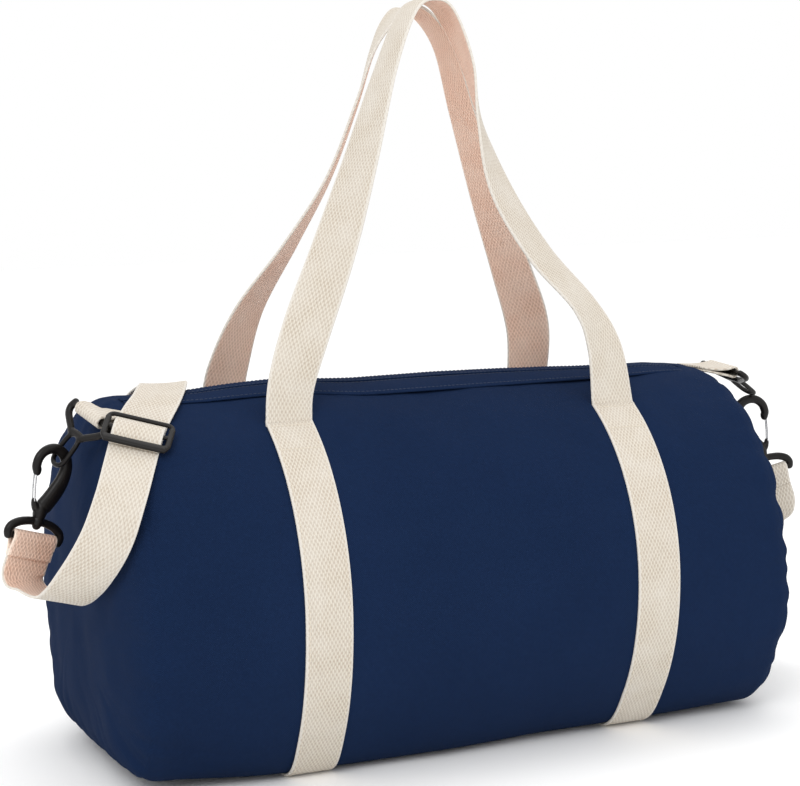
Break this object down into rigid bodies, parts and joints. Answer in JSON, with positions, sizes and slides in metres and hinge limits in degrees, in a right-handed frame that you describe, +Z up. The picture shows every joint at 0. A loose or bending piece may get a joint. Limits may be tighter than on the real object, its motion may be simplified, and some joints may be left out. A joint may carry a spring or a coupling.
{
  "type": "weekender bag",
  "caption": "Barrel weekender bag in navy canvas with cream webbing handles, a zipped top and a clip-on shoulder strap.",
  "frame": {"origin": "centre of the flat base, on the floor", "axes": "+X along the barrel to the right end, -Y the front, +Z up"},
  "size_m": [0.6192, 0.313, 0.5015],
  "materials": {
    "canvas": "matt cotton canvas, navy",
    "binding_tape": "matt cotton tape, navy",
    "webbing": "matt undyed cotton webbing",
    "zip_tape": "matt woven tape, navy",
    "zip_coil": "satin nylon coil",
    "zip_metal": "satin black",
    "gate_wire": "bright steel wire",
    "black_plastic": "satin moulded black"
  },
  "bodies": {
    "bag": {"main_panel": "canvas", "left_end_panel": "canvas", "right_end_panel": "canvas", "left_seam_binding": "binding_tape", "right_seam_binding": "binding_tape", "front_zip_facing": "canvas", "rear_zip_facing": "canvas", "front_zip_tape": "zip_tape", "rear_zip_tape": "zip_tape", "front_zip_coil": "zip_coil", "rear_zip_coil": "zip_coil", "zip_stops": "zip_metal", "front_left_band": "webbing", "front_right_band": "webbing", "rear_left_band": "webbing", "rear_right_band": "webbing", "left_ring_tab": "webbing", "right_ring_tab": "webbing", "shoulder_strap": "webbing"},
    "zip_slider": {"zip_slider": "zip_metal"},
    "zip_pull": {"zip_pull": "zip_metal"},
    "front_handle": {"front_handle": "webbing"},
    "rear_handle": {"rear_handle": "webbing"},
    "adjuster": {"strap_adjuster": "black_plastic", "adjuster_webbing": "webbing"},
    "left_ring": {"left_ring": "black_plastic"},
    "left_hook": {"left_hook": "black_plastic"},
    "left_gate": {"left_gate": "gate_wire"},
    "left_swivel_loop": {"left_swivel_loop": "black_plastic", "left_strap_end": "webbing"},
    "right_ring": {"right_ring": "black_plastic"},
    "right_hook": {"right_hook": "black_plastic"},
    "right_gate": {"right_gate": "gate_wire"},
    "right_swivel_loop": {"right_swivel_loop": "black_plastic", "right_strap_end": "webbing"}
  },
  "joints": [
    {"name": "zip_slide", "type": "slide", "parent": "bag", "child": "zip_slider", "axis": [1, 0, 0], "range_m": [0, 0.396]},
    {"name": "zip_pull_flip", "type": "hinge", "parent": "zip_slider", "child": "zip_pull", "pos_m": [-0.198, -0.01599, 0.24222], "axis": [1, 0, 0], "range_deg": [0, 25]},
    {"name": "front_handle_fold", "type": "hinge", "parent": "bag", "child": "front_handle", "pos_m": [0, -0.0651, 0.23255], "axis": [1, 0, 0], "range_deg": [0, 125]},
    {"name": "rear_handle_fold", "type": "hinge", "parent": "bag", "child": "rear_handle", "pos_m": [0, 0.0651, 0.23255], "axis": [-1, 0, 0], "range_deg": [0, 125]},
    {"name": "left_strap_swing", "type": "hinge", "parent": "bag", "child": "left_swivel_loop", "pos_m": [-0.238, -0.037, 0.239], "axis": [-0.2922, 0.8992, 0.3256], "range_deg": [0, 25]},
    {"name": "left_ring_tilt", "type": "hinge", "parent": "bag", "child": "left_ring", "pos_m": [-0.238, -0.037, 0.239], "axis": [-0.2922, 0.8992, 0.3256], "range_deg": [0, 25]},
    {"name": "left_hook_swivel", "type": "hinge", "parent": "left_swivel_loop", "child": "left_hook", "pos_m": [-0.2645, -0.036, 0.2085], "axis": [0.2989, 0.0238, 0.954], "range_deg": [-10, 10]},
    {"name": "left_gate_open", "type": "hinge", "parent": "left_hook", "child": "left_gate", "pos_m": [-0.27774, -0.0385, 0.18703], "axis": [-0.2889, 0.955, 0.0667], "range_deg": [0, 26], "stiffness_Nm_per_rad": 0.02},
    {"name": "right_strap_swing", "type": "hinge", "parent": "bag", "child": "right_swivel_loop", "pos_m": [0.251, -0.005, 0.235], "axis": [0.2064, -0.9709, -0.1219], "range_deg": [0, 25]},
    {"name": "right_ring_tilt", "type": "hinge", "parent": "bag", "child": "right_ring", "pos_m": [0.251, -0.005, 0.235], "axis": [0.2064, -0.9709, -0.1219], "range_deg": [0, 25]},
    {"name": "right_hook_swivel", "type": "hinge", "parent": "right_swivel_loop", "child": "right_hook", "pos_m": [0.283, 0.006, 0.1985], "axis": [-0.2511, 0.0626, 0.9659], "range_deg": [-10, 10]},
    {"name": "right_gate_open", "type": "hinge", "parent": "right_hook", "child": "right_gate", "pos_m": [0.29524, 0.00295, 0.17652], "axis": [-0.2419, -0.9703, 0], "range_deg": [0, 26], "stiffness_Nm_per_rad": 0.02},
    {"name": "adjuster_slide", "type": "slide", "parent": "bag", "child": "adjuster", "axis": [-0.4524, -0.7444, -0.4911], "range_m": [-0.012, 0.015]}
  ],
  "couplings": [
    {"joint": "left_ring_tilt", "follows": "left_strap_swing", "ratio": 1},
    {"joint": "right_ring_tilt", "follows": "right_strap_swing", "ratio": 1}
  ]
}
